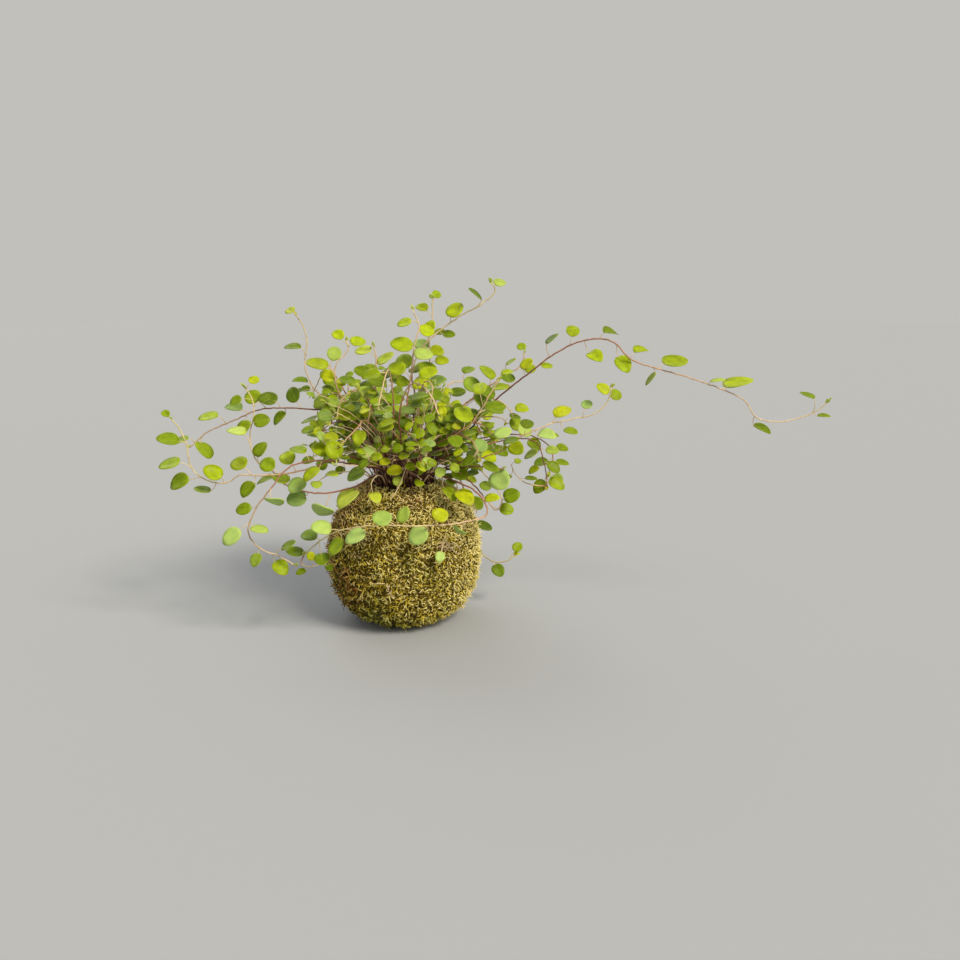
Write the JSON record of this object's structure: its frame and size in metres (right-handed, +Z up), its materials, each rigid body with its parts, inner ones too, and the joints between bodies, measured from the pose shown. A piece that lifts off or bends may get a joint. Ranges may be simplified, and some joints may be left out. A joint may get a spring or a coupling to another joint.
{
  "type": "moss ball plant",
  "caption": "Kokedama: a moss-wrapped ball of soil, open at the top, with a thicket of wiry, round-leaved vine stems that trail out to both sides. It rests on a flat spot.",
  "frame": {"origin": "centre of the ball's flat resting spot", "axes": "+Z up, +X towards the end of the longest trailing stem, -Y to the front, where a stem crosses the ball"},
  "size_m": [0.4204, 0.1711, 0.2199],
  "materials": {
    "soil": "matt, crumbly",
    "moss": "matt, furry",
    "leafy_stem": "satin leaves on dull brown stems"
  },
  "bodies": {
    "root": {"moss_sheet": "moss", "soil_core": "soil", "stem_across_front": "leafy_stem", "stem_behind_right": "leafy_stem", "stem_left_climbing": "leafy_stem", "stem_left_hanging": "leafy_stem", "stem_left_low": "leafy_stem", "stem_left_red": "leafy_stem", "stem_left_short": "leafy_stem", "stem_left_tall": "leafy_stem", "stem_long_right": "leafy_stem", "stem_middle_tall": "leafy_stem", "stem_right_drooping": "leafy_stem", "stem_right_drooping_back": "leafy_stem", "stem_right_hook": "leafy_stem", "stem_right_leafy": "leafy_stem", "stem_right_loop": "leafy_stem", "stem_right_low": "leafy_stem", "stem_right_near": "leafy_stem", "stem_right_rising": "leafy_stem", "stem_thicket_01": "leafy_stem", "stem_thicket_02": "leafy_stem", "stem_thicket_03": "leafy_stem", "stem_thicket_04": "leafy_stem", "stem_thicket_05": "leafy_stem", "stem_thicket_06": "leafy_stem", "stem_thicket_07": "leafy_stem", "stem_thicket_08": "leafy_stem", "stem_thicket_09": "leafy_stem", "stem_thicket_10": "leafy_stem", "stem_thicket_11": "leafy_stem", "stem_thicket_12": "leafy_stem", "stem_thicket_13": "leafy_stem", "stem_thicket_14": "leafy_stem", "stem_thicket_15": "leafy_stem", "stem_thicket_16": "leafy_stem", "stem_thicket_17": "leafy_stem", "stem_thicket_18": "leafy_stem", "stem_thicket_20": "leafy_stem", "stem_thicket_21": "leafy_stem", "stem_thicket_22": "leafy_stem", "stem_top_back": "leafy_stem", "stem_top_front": "leafy_stem", "stem_top_right": "leafy_stem"}
  },
  "joints": []
}
